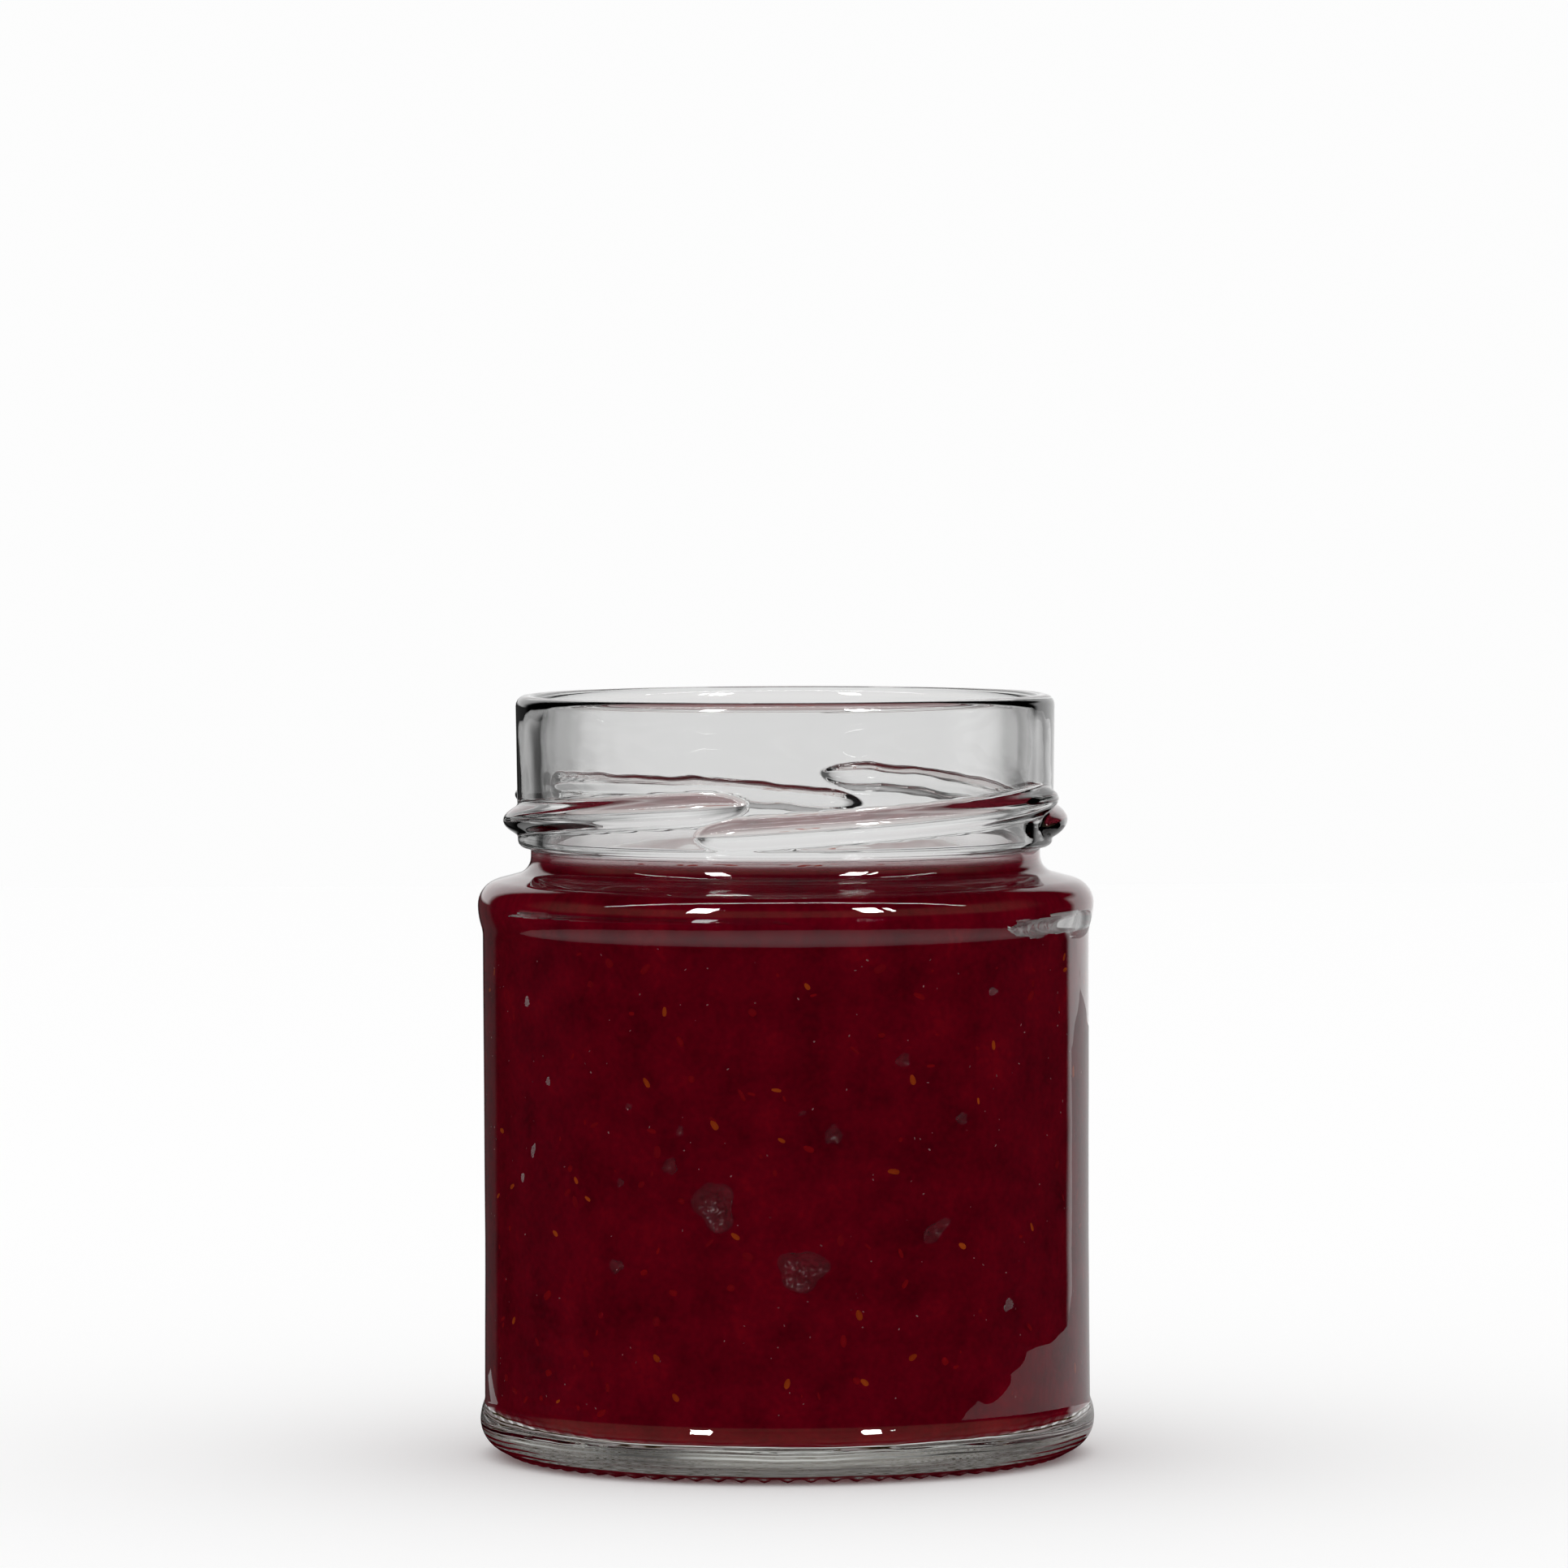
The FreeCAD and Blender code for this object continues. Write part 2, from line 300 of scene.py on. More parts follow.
def blown_waviness(angle, height):
    """How far the inside of the blown wall wanders from round, in millimetres; angle is in radians."""
    slow = 0.07 * np.sin(3 * angle + 0.11 * height + 0.6) + 0.05 * np.sin(5 * angle - 0.07 * height)
    quick = 0.02 * np.sin(17 * angle + 0.31 * height) * np.sin(0.23 * height + 2 * angle)
    return slow + quick


def outside_waviness(angle, height):
    """How far the outside wanders, in millimetres; angle is in radians."""
    slow = 0.012 * np.sin(9 * angle + 0.21 * height + 0.4) * np.sin(0.13 * height + 1.1)
    quick = 0.004 * np.sin(31 * angle - 0.17 * height) * np.sin(0.41 * height + 5 * angle)
    return slow + quick


def wobble(angle, seed):
    """A share that makes an outline uneven; angle is the direction from the outline's middle."""
    return 1 + 0.13 * np.sin(3 * angle + seed) + 0.07 * np.sin(5 * angle + 2.3 * seed)


def bubble_depth(turn, height, bubbles):
    """How deep the bubbles press into the jam at the wall; turn is in degrees right of the front."""
    depth = np.zeros_like(height)
    for seed, (middle, level, half_width, half_height, tilt, deep) in enumerate(bubbles):
        across = np.radians((turn - middle + 180) % 360 - 180) * inner_panel_radius
        up = height - level
        c, s = math.cos(math.radians(tilt)), math.sin(math.radians(tilt))
        u, v = (c * across + s * up) / half_width, (c * up - s * across) / half_height
        out = np.hypot(u, v) / wobble(np.arctan2(v, u), seed)
        depth = np.maximum(depth, deep * np.clip(1 - out ** 2, 0, 1) ** 0.6)
    return depth


def pocket_depth(turn, height):
    """How deep the air under the shoulder reaches into the jam."""
    depth = np.zeros_like(height)
    for seed, (start, end, end_z, middle_z, half_height, deep) in enumerate(shoulder_pockets):
        share = ((turn - start) % 360) / ((end - start) % 360)
        inside = share < 1
        swell = np.where(inside, np.clip(4 * share * (1 - share), 0, 1), 0) ** 0.35
        level = end_z + (middle_z - end_z) * swell
        lower_edge = 1 + 0.3 * np.sin(0.35 * turn + seed) + 0.15 * np.sin(0.9 * turn)
        edge = np.where(height < level, lower_edge, 0.8)
        across = (height - level) / (half_height * edge * np.maximum(swell, 0.01))
        depth = np.maximum(depth, deep * swell * np.clip(1 - across ** 2, 0, 1) ** 0.5)
    return depth


def bumps(points, size):
    """Smooth noise of about -1 to 1 at points in millimetres, with lumps about as wide as size."""
    return np.array([noise.noise(Vector(point) / size) for point in points])


def soft_max(a, b, blend):
    """The larger of the two, rounded over where they meet."""
    near = np.clip(0.5 + (a - b) / (2 * blend), 0, 1)
    return b + (a - b) * near + blend * near * (1 - near)


def thread_relief(angle, height):
    """How far the threads stand out of the finish; angle is in degrees from the front."""
    relief = np.zeros_like(height)
    for start in range(thread_starts):
        along = (angle - thread_first_angle - 360 * start / thread_starts) % 360
        on_thread = along <= thread_span
        swell_in = np.clip(along / thread_run_in, 0, 1)
        swell_out = np.clip((thread_span - along) / thread_run_out, 0, 1)
        swell = np.sqrt(1 - (1 - swell_in) ** 2)
        swell = np.minimum(swell, np.sqrt(1 - (1 - swell_out) ** 2))
        swell = np.where(on_thread, np.maximum(swell, thread_tip), thread_tip)
        middle = thread_middle_z + thread_lead * (along + thread_first_angle) / 360
        across = (height - middle) / (thread_half_height * swell)
        bead = (thread_rise + thread_core_depth) * swell * (1 - across ** 2) - thread_core_depth
        bead = np.where(on_thread, bead, -1.0)
        relief = soft_max(bead, relief, thread_fillet)
    return relief


def knurl_relief(angle, radius):
    """How far the knurls of the foot stand down; angle is in radians."""
    wave = ((1 + np.cos(knurl_count * angle)) / 2) ** knurl_sharpness
    inner = np.clip((radius - foot_inner_radius) / knurl_run_in, 0, 1)
    outer = np.clip((foot_outer_radius + knurl_overrun - radius) / knurl_run_out, 0, 1)
    ends = np.sin(inner * math.pi / 2) * np.sin(outer * math.pi / 2)
    return knurl_drop * wave * ends


# ---- mesh helpers ------------------------------

def add_piece(name, vertices, faces, materials, face_materials=None):
    """A smooth-shaded object, from points in millimetres."""
    mesh = bpy.data.meshes.new(name)
    mesh.from_pydata(np.asarray(vertices) * MM, [], faces)
    for material in materials:
        mesh.materials.append(material)
    if face_materials is not None:
        mesh.polygons.foreach_set("material_index", np.asarray(face_materials, np.int32))
    mesh.polygons.foreach_set("use_smooth", np.ones(len(mesh.polygons), bool))
    mesh.update()
    piece = bpy.data.objects.new(name, mesh)
    bpy.context.scene.collection.objects.link(piece)
    return piece


def strip_faces(low, high, columns):
    """Faces between two rings of points, given the number of each ring's first point."""
    column = np.arange(columns)
    following = (column + 1) % columns
    return np.column_stack([low + column, low + following, high + following, high + column]).tolist()


def turned_faces(rows, columns):
    """Faces of a closed skin: one point at each end and rings of columns points between them."""
    last = 1 + rows * columns
    top_ring = last - columns
    pairs = [(column, (column + 1) % columns) for column in range(columns)]
    faces = [[0, 1 + b, 1 + a] for a, b in pairs]
    for row in range(rows - 1):
        faces += strip_faces(1 + row * columns, 1 + (row + 1) * columns, columns)
    return faces + [[top_ring + a, top_ring + b, last] for a, b in pairs]


def section_normals(points):
    """Unit normals of a half section that is drawn bottom to top with the solid's inside on its left."""
    step = np.gradient(points, axis=0)
    normal = np.column_stack([step[:, 1], -step[:, 0]])
    return normal / np.linalg.norm(normal, axis=1)[:, None]


def turned_grid(section, columns):
    """Radius, angle and height of a section's points, turned round the axis from the front on."""
    angle = np.radians(FRONT) + 2 * math.pi * np.arange(columns) / columns
    radius, turn = np.meshgrid(section[:, 0], angle, indexing="ij")
    return radius, turn, np.repeat(section[:, 1:], columns, axis=1)


def ring_points(radius, height, angle):
    axes = radius * np.cos(angle), radius * np.sin(angle), height
    return np.column_stack([axis.ravel() for axis in axes])


def closed_points(section, radius, height, angle):
    """Rings of points, with the section's two ends, on the axis, before and after them."""
    return np.vstack([[0, 0, section[0, 1]], ring_points(radius, height, angle), [0, 0, section[-1, 1]]])


def turn_of(points):
    """Degrees right of the front."""
    return np.degrees(np.arctan2(points[:, 1], points[:, 0])) - FRONT


# ---- colours and nodes -------------------------

def linear(hex_colour):
    """An sRGB hex colour as a linear one."""
    channels = [int(hex_colour[i:i + 2], 16) / 255 for i in (1, 3, 5)]
    return tuple(c / 12.92 if c <= 0.04045 else ((c + 0.055) / 1.055) ** 2.4 for c in channels) + (1.0,)


def grey(level):
    """A linear grey."""
    return (level, level, level, 1.0)


def add_node(owner, kind, inputs=None, **settings):
    """Adds a node to a material, world or lamp.

    Inputs maps sockets to plain values or to other nodes' outputs. Settings are the node's properties.
    """
    node = owner.node_tree.nodes.new(kind)
    for key, value in settings.items():
        setattr(node, key, value)
    for key, value in (inputs or {}).items():
        if isinstance(value, bpy.types.NodeSocket):
            owner.node_tree.links.new(value, node.inputs[key])
        else:
            node.inputs[key].default_value = value
    return node


def calculate(owner, operation, *values):
    """The result of an operation on outputs or plain numbers."""
    return add_node(owner, "ShaderNodeMath", dict(enumerate(values)), operation=operation).outputs[0]


def remap(owner, value, start, end, low, high, **settings):
    """Runs from low to high while the value runs from start to end, and stays there beyond them."""
    inputs = {"Value": value, "From Min": start, "From Max": end, "To Min": low, "To Max": high}
    return add_node(owner, "ShaderNodeMapRange", inputs, **settings).outputs[0]


def blend(owner, factor, low, high):
    """Mixes two colours, each an output or plain numbers."""
    return add_node(owner, "ShaderNodeMix", {0: factor, 6: low, 7: high}, data_type="RGBA").outputs[2]


def ramp(owner, source, stops):
    """A colour by the source's number: stops are pairs of number and colour, in rising order."""
    node = add_node(owner, "ShaderNodeValToRGB", {"Fac": source})
    steps = node.color_ramp.elements
    steps[0].position, steps[1].position = stops[0][0], stops[1][0]
    for position, _ in stops[2:]:
        steps.new(position)
    for step, (_, colour) in zip(steps, stops):
        step.color = colour
    return node.outputs[0]


def clouds(material, where, width, detail):
    """Noise from 0 to 1 in clouds about as wide as width, in millimetres."""
    inputs = {"Vector": where, "Scale": 1 / (width * MM), "Detail": detail}
    return add_node(material, "ShaderNodeTexNoise", inputs).outputs["Fac"]


def waves(material, where, pitch, distortion, detail, detail_scale, **settings):
    """Wavy lines from 0 to 1, about as far apart as pitch, in millimetres."""
    inputs = {"Vector": where, "Scale": 0.3 / (pitch * MM), "Distortion": distortion, "Detail": detail,
              "Detail Scale": detail_scale}
    return add_node(material, "ShaderNodeTexWave", inputs, **settings).outputs["Fac"]


def mix_shaders(material, factor, first, second):
    """Two nodes' shaders: all first where the factor is 0, all second where it is 1."""
    inputs = {0: factor, 1: first.outputs[0], 2: second.outputs[0]}
    return add_node(material, "ShaderNodeMixShader", inputs)


# ---- materials ---------------------------------

def new_material(name):
    material = bpy.data.materials.new(name)
    material.use_nodes = True
    material.node_tree.nodes.clear()
    return material


def object_place(material):
    """The place on the object, in metres."""
    return add_node(material, "ShaderNodeTexCoord").outputs["Object"]


def axis_of(material, where, axis):
    """How far a place lies on one axis."""
    return add_node(material, "ShaderNodeSeparateXYZ", {"Vector": where}).outputs[axis]


def put_out(material, surface, **others):
    """Makes a node's shader the material's surface; others, such as Volume, go to the outputs they name."""
    shaders = {"Surface": surface, **others}
    add_node(material, "ShaderNodeOutputMaterial", {key: node.outputs[0] for key, node in shaders.items()})


def flint_glass():
    """Flint container glass, pressed and blown in an iron mould: a faint grey body, a slightly wandering
    surface, and fine level lines of the mould at the heel."""
    material = new_material("flint_glass")
    where = object_place(material)
    wander = add_node(material, "ShaderNodeTexNoise", {"Vector": where, "Scale": 90.0, "Detail": 2.0})
    wandering = add_node(material, "ShaderNodeBump",
                         {"Height": wander.outputs["Fac"], "Strength": 0.12, "Distance": 0.6 * MM})
    at_heel = remap(material, axis_of(material, where, "Z"), 2.5 * MM, 4.5 * MM, 1.0, 0.0)
    lines = waves(material, where, 0.6, 3.0, 2.0, 0.2, bands_direction="Z")
    lined = add_node(material, "ShaderNodeBump",
                     {"Height": calculate(material, "MULTIPLY", lines, at_heel), "Strength": 1.0,
                      "Distance": 0.03 * MM, "Normal": wandering.outputs["Normal"]})
    glass = add_node(material, "ShaderNodeBsdfPrincipled",
                     {"Base Color": grey(1), "Roughness": 0.0, "IOR": glass_ior,
                      "Transmission Weight": 1.0, "Normal": lined.outputs["Normal"]})
    body = add_node(material, "ShaderNodeVolumeAbsorption", {"Color": linear("#c8cbc4"), "Density": 13.0})
    put_out(material, glass, Volume=body)
    return material


def berry_colour(material, where):
    """Mottled crimson: clouds about 5 mm wide with a grain of about 0.7 mm, and redder pulpy patches."""
    mottle = {0: 0.35, 2: clouds(material, where, 5, 3.0), 3: clouds(material, where, 0.7, 2.0)}
    both = add_node(material, "ShaderNodeMix", mottle, data_type="FLOAT").outputs[0]
    return ramp(material, both, [(0.32, linear("#5c0014")), (0.5, linear("#740119")),
                                 (0.6, linear("#7e021b")), (0.7, linear("#8c061c"))])


def berry_gel_on_glass():
    """Cooked berry gel pressed against glass: nearly opaque crimson. At a grazing look through the glass its
    underside mirrors, because gel bends light less than glass does; the mirror's pale and olive rings are a
    painted reflection. Low in the heel part of that painted reflection is matt, a painted hazy reflection."""
    material = new_material("berry_gel_on_glass")
    where = object_place(material)
    gel = add_node(material, "ShaderNodeBsdfPrincipled",
                   {"Base Color": berry_colour(material, where), "Roughness": 0.6, "IOR": 1.02})
    # The rings tint the mirror pale, olive and dark: a painted reflection pattern.
    rings = waves(material, where, 0.5, 6.0, 3.0, 0.3, wave_type="RINGS", rings_direction="SPHERICAL")
    painted_reflection_tint = ramp(material, rings, [(0, linear("#241a10")), (0.12, linear("#75653c")),
                                  (0.28, linear("#c9c1b4")), (0.6, linear("#ffffff"))])
    mirror = add_node(material, "ShaderNodeBsdfGlossy", {"Color": painted_reflection_tint, "Roughness": 0.03})
    # A matt copy in the same colours, low in the heel: a painted hazy reflection.
    painted_hazy_reflection = add_node(material, "ShaderNodeBsdfDiffuse", {"Color": painted_reflection_tint})
    painted_haze_share = remap(material, axis_of(material, where, "Z"), 4.5 * MM, 6 * MM, 0.45, 0.0)
    graze = add_node(material, "ShaderNodeFresnel", {"IOR": gel_ior / glass_ior}).outputs[0]
    underside = mix_shaders(material, painted_haze_share, mirror, painted_hazy_reflection)
    put_out(material, mix_shaders(material, graze, gel, underside))
    return material


def wet_gel(name, skin_ior, narrowing, painted_sheen_share):
    """The gel's free surface: a wet skin that shines white at a low angle, in a band that narrowing thins.
    What is seen of it through two faces of glass gets a painted sheen instead, in the share the last
    argument
    gives: a pale matt colour, wide and stronger the lower the look."""
    matt_narrowing = 1.2
    material = new_material(name)
    where = object_place(material)
    gel = add_node(material, "ShaderNodeBsdfPrincipled",
                   {"Base Color": berry_colour(material, where), "Roughness": 0.04, "IOR": skin_ior})
    faces_crossed = add_node(material, "ShaderNodeLightPath").outputs["Transmission Depth"]
    through = remap(material, faces_crossed, 1, 2, 0.0, painted_sheen_share)
    power = remap(material, through, 0, 1, narrowing, matt_narrowing)
    graze = add_node(material, "ShaderNodeLayerWeight", {"Blend": 0.5}).outputs["Facing"]
    shine = add_node(material, "ShaderNodeBsdfGlossy", {"Roughness": 0.1})
    # A painted sheen: a pale matt colour that stands in for the shine seen through the glass.
    pale = add_node(material, "ShaderNodeBsdfDiffuse", {"Color": (0.97, 0.96, 0.95, 1)})
    sheen = mix_shaders(material, through, shine, pale)
    put_out(material, mix_shaders(material, calculate(material, "POWER", graze, power), gel, sheen))
    return material


def smeared_gel():
    """A smear of gel on the glass above the fill: thick crimson at its foot, paler and thinning upward, and
    fainter round the back."""
    material = new_material("smeared_berry_gel")
    where = object_place(material)
    smooth = {"interpolation_type": "SMOOTHSTEP"}
    height, depth = axis_of(material, where, "Z"), axis_of(material, where, "Y")
    thin = remap(material, height, film_low_z * MM, film_high_z * MM, 1.0, 0.0, **smooth)
    near = remap(material, depth, -4 * MM, 12 * MM, 1.0, 0.15, **smooth)
    colour = blend(material, thin, linear("#d04a60"), berry_colour(material, where))
    gel = add_node(material, "ShaderNodeBsdfPrincipled",
                   {"Base Color": colour, "Roughness": 0.6, "IOR": 1.02})
    clear = add_node(material, "ShaderNodeBsdfTransparent")
    put_out(material, mix_shaders(material, calculate(material, "MULTIPLY", thin, near), clear, gel))
    return material


def scattered(name, roughness, low, high, patch):
    """A finish for small things in the jam, whose colour changes from one to the next."""
    material = new_material(name)
    where = object_place(material)
    colour = ramp(material, clouds(material, where, patch, 1.0), [(0.35, linear(low)), (0.65, linear(high))])
    put_out(material, add_node(material, "ShaderNodeBsdfPrincipled",
                               {"Base Color": colour, "Roughness": roughness, "IOR": 1.1}))
    return material


# ---- pieces ------------------------------------

def finish_piece(piece, node=None):
    if node:
        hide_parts(node)
    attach(piece, "root")


def make_glass():
    outer = outer_section()
    section = np.vstack([outer, inner_section()[::-1][1:]])
    is_outer = np.arange(len(section)) < len(outer)
    columns = knurl_count * knurl_columns
    radius, turn, height = turned_grid(section[1:-1], columns)
    on_outside = np.repeat(is_outer[1:-1, None], columns, axis=1)

    on_finish = on_outside & (height > groove_top_z + groove_corner_radius) & (height < lip_base_z)
    threads = thread_relief(np.degrees(turn) - FRONT, height)
    radius = radius + np.where(on_finish, threads, 0)
    at_foot = on_outside & (height < knurl_drop + heel_radius / 3) & (radius > foot_inner_radius)
    height = height - np.where(at_foot, knurl_relief(turn, radius), 0)
    in_body = ~on_outside & (height < fill_z) & (radius > inner_panel_radius - floor_corner_radius)
    radius = radius + np.where(in_body, blown_waviness(turn, height), 0)
    on_wall = on_outside & (height > knurl_drop + heel_radius)
    radius = radius + np.where(on_wall, outside_waviness(turn, height), 0)

    vertices = closed_points(section, radius, height, turn)
    faces = turned_faces(len(section) - 2, columns)
    finish_piece(add_piece("glass_jar", vertices, faces, [flint_glass()]), "jar")


def jam_wall():
    """The inside of the glass from the middle of the floor to the jam's edge, pushed into the glass."""
    inner = inner_section()
    edge_z = fill_z - jam_edge_drop
    coarse = inner[inner[:, 1] < edge_z]
    fine = [coarse[0]]
    for start, end in zip(coarse[:-1], coarse[1:]):
        steps = max(1, round(np.linalg.norm(end - start) / jam_row))
        fine += [start + (end - start) * step / steps for step in range(1, steps + 1)]
    wall = np.array(fine)
    wall = wall + section_normals(wall) * jam_reach
    edge_radius = np.interp(edge_z, inner[:, 1], inner[:, 0])
    return np.vstack([wall, [edge_radius + jam_reach, edge_z]])


def jam_top(edge):
    """The set surface, from its rounded edge to its middle."""
    line = HalfSection(edge[0], edge[1], jam_edge_heading)
    line.arc_to(edge[0] - jam_edge_width, fill_z, 7)
    line.line_to(0, fill_z, 30)
    return line.array()[1:]


def make_jam(bubbles):
    wall = jam_wall()
    section = np.vstack([wall, jam_top(wall[-1])])
    on_top = np.arange(len(section)) >= len(wall)
    columns = round(2 * math.pi * inner_panel_radius / jam_column)
    radius, turn, height = turned_grid(section[1:-1], columns)
    against_wall = np.repeat(~on_top[1:-1, None], columns, axis=1)
    wandering = against_wall & (radius > inner_panel_radius - floor_corner_radius)
    radius = radius + np.where(wandering, blown_waviness(turn, height), 0)

    vertices = closed_points(section, radius, height, turn)
    faces = turned_faces(len(section) - 2, columns)
    wet = np.concatenate([np.zeros(columns), np.repeat(on_top[1:-2], columns), np.ones(columns)])
    # The jam's top skin gets the painted pale sheen through glass; the skin round the air gets none.
    skins = [berry_gel_on_glass(), wet_gel("wet_berry_gel_and_painted_sheen", gel_ior, narrowing=1.6, painted_sheen_share=1.0),
             wet_gel("gel_round_air", 1.4, narrowing=5.0, painted_sheen_share=0.0)]
    piece = add_piece("seeded_jam", vertices, faces, skins, wet)
    divide_round_air(piece.data, bubbles)
    carve_jam(piece.data, bubbles)
    finish_piece(piece, "jam")


def grown(bubbles, share, margin):
    """The bubbles with wider outlines."""
    return [(turn, level, half_width * share + margin, half_height * share + margin, tilt, deep)
            for turn, level, half_width, half_height, tilt, deep in bubbles]


def divide_round_air(mesh, bubbles):
    """Divides the jam's skin finely where air touches it."""
    editor = bmesh.new()
    editor.from_mesh(mesh)
    middles = np.array([face.calc_center_median() for face in editor.faces]) / MM
    turn, height = turn_of(middles), middles[:, 2]
    airy = (bubble_depth(turn, height, grown(bubbles, 1.35, 0.5)) > 0) | (pocket_depth(turn, height) > 0)
    touched = airy & (np.hypot(middles[:, 0], middles[:, 1]) > inner_neck_radius + 1)
    edges = {edge for face, use in zip(list(editor.faces), touched) if use for edge in face.edges}
    bmesh.ops.subdivide_edges(editor, edges=list(edges), cuts=3, use_grid_fill=True)
    editor.to_mesh(mesh)
    editor.free()


def carve_jam(mesh, bubbles):
    """Presses the air into the jam, ripples its top and gives the faces round the air their own skin."""
    points = np.empty(len(mesh.vertices) * 3)
    mesh.vertices.foreach_get("co", points)
    points = points.reshape(-1, 3) / MM
    turn, height = turn_of(points), points[:, 2].copy()
    out = np.hypot(points[:, 0], points[:, 1])
    at_wall = (out > inner_neck_radius + 1) & (height > knurl_drop + floor_thickness)
    pockets = pocket_depth(turn, height)
    depth = np.where(at_wall, np.maximum(bubble_depth(turn, height, bubbles), pockets), 0)
    airy = np.flatnonzero(depth > 0)
    rough = 0.5 * bumps(points[airy], 1.0) + 0.3 * bumps(points[airy], 0.45)
    depth[airy] *= np.clip(1 + np.where(pockets[airy] > 0, pocket_roughness, 1) * rough, 0.2, None)
    points[:, :2] *= (1 - depth / np.maximum(out, 1))[:, None]

    top = np.flatnonzero((height > fill_z - jam_edge_drop) & (out < inner_neck_radius - 0.5))
    ease = np.clip((inner_neck_radius - out[top]) / jam_edge_width, 0, 1)
    ripples = 0.35 * bumps(points[top], 7.0) + 0.12 * bumps(points[top], 2.2)
    points[top, 2] += ease * (ripples - jam_top_sag)
    mesh.vertices.foreach_set("co", (points * MM).ravel())

    starts = [polygon.vertices[0] for polygon in mesh.polygons]
    skins = np.empty(len(mesh.polygons), np.int32)
    mesh.polygons.foreach_get("material_index", skins)
    skins = np.where(depth[starts] > least_air_depth, air_skin, skins)
    mesh.polygons.foreach_set("material_index", skins.astype(np.int32))
    mesh.polygons.foreach_set("use_smooth", np.ones(len(mesh.polygons), bool))
    mesh.update()


def make_smear():
    """A thin closed ring of gel inside the neck's glass skin, from below the jam's edge upward."""
    inner = inner_section()
    levels = np.linspace(film_low_z - film_foot, film_high_z, 14)
    wall = np.interp(levels, inner[:, 1], inner[:, 0])
    sides = [np.column_stack([wall + reach, levels]) for reach in film_reaches]
    ring = np.vstack([sides[0], sides[1][::-1]])
    columns = 256
    radius, turn, height = turned_grid(ring, columns)
    faces = []
    for row in range(len(ring)):
        faces += strip_faces(row * columns, (row + 1) % len(ring) * columns, columns)
    piece = add_piece("jam_smear", ring_points(radius, height, turn), faces, [smeared_gel()])
    finish_piece(piece)


def pip_shape(length, width, thickness, point, rings=7, sides=10):
    """A flattened drop that lies along X with its flat side to Z; point is how sharp its tip is."""
    vertices = [(-length / 2, 0, 0)]
    for ring in range(1, rings):
        along = ring / rings
        girth = math.sin(math.pi * along) ** 0.6 * (1 - point * along)
        x = -math.cos(math.pi * along) * length / 2
        for side in range(sides):
            around = 2 * math.pi * side / sides
            y, z = width / 2 * girth * math.cos(around), thickness / 2 * girth * math.sin(around)
            vertices.append((x, y, z))
    vertices.append((length / 2, 0, 0))
    return vertices, turned_faces(rings - 1, sides)


def scatter(name, material, places, shape):
    """One mesh of many small shapes, each put at its place by a matrix."""
    vertices, faces = [], []
    for place in places:
        points, shape_faces = shape()
        faces += [[len(vertices) + index for index in face] for face in shape_faces]
        vertices += [place @ Vector(point) for point in points]
    finish_piece(add_piece(name, vertices, faces, [material]))


def wall_place(turn, height, proud, spin):
    """Where a flat thing lies in the jam's skin against the panel; proud is how far it stands into the
    glass."""
    inner = inner_section()
    wall = inner[inner[:, 0] > inner_panel_radius - 1]
    angle = math.radians(FRONT + turn)
    radius = np.interp(height, wall[:, 1], wall[:, 0]) + blown_waviness(angle, height) + jam_reach + proud
    out = Vector((math.cos(angle), math.sin(angle), 0))
    along = Vector((-math.sin(angle), math.cos(angle), 0))
    axes = Matrix((along, Vector((0, 0, 1)), out)).transposed().to_4x4()
    return Matrix.Translation(out * radius + Vector((0, 0, height))) @ axes @ Matrix.Rotation(spin, 4, "Z")


def lay_on_wall(spots, draw, least_proud, most_proud):
    """Places in the jam's skin at the spots, each thing turned its own way."""
    return [wall_place(turn, height, draw.uniform(least_proud, most_proud), draw.uniform(0, math.pi))
            for turn, height in spots]


def clear_of_air(turn, height, bubbles, margin):
    """Whether a spot on the wall has no air near it."""
    turn, height = np.array([turn]), np.array([height])
    near_bubble = bubble_depth(turn, height, grown(bubbles, 1, margin))[0] > 0
    return not near_bubble and pocket_depth(turn, height)[0] == 0


def random_spots(count, low_z, high_z, draw, bubbles, margin):
    """Spots all over the panel, clear of the air: degrees right of the front, height."""
    spots = []
    while len(spots) < count:
        turn, height = draw.uniform(-180, 180), draw.uniform(low_z, high_z)
        if clear_of_air(turn, height, bubbles, margin):
            spots.append((turn, height))
    return spots


def all_bubbles():
    """The bubbles at the front, and others like them round the back."""
    draw = random.Random(11)
    bubbles = list(front_bubbles)
    for _ in range(back_bubble_count):
        size = draw.choice([0.4, 0.5, 0.7, 0.9, 1.1, 1.6, 2.2])
        bubbles.append((draw.uniform(100, 260), draw.uniform(14, 55), size * draw.uniform(0.8, 1.3),
                        size * draw.uniform(0.7, 1.2), draw.uniform(-60, 60), 0.3 + 0.4 * size))
    return bubbles


def seed_places(draw, bubbles):
    """Seeds against the glass, by a list at the front and by chance elsewhere, and a few on top."""
    chance_spots = random_spots(chance_seed_count, 7.5, 56, draw, bubbles, 0.9)
    spots = front_seeds + [spot for spot in chance_spots if abs(spot[0]) > front_seed_reach]
    places = lay_on_wall(spots, draw, -0.26, -0.14)
    for _ in range(top_seed_count):
        reach = math.sqrt(draw.random()) * (inner_neck_radius - 9)
        turn = draw.uniform(0, 2 * math.pi)
        tip = Matrix.Rotation(draw.uniform(-0.5, 0.5), 4, "X")
        spin = Matrix.Rotation(draw.uniform(0, 6.3), 4, "Z")
        centre = (reach * math.cos(turn), reach * math.sin(turn), fill_z - 0.1)
        places.append(Matrix.Translation(centre) @ (tip @ spin))
    return places


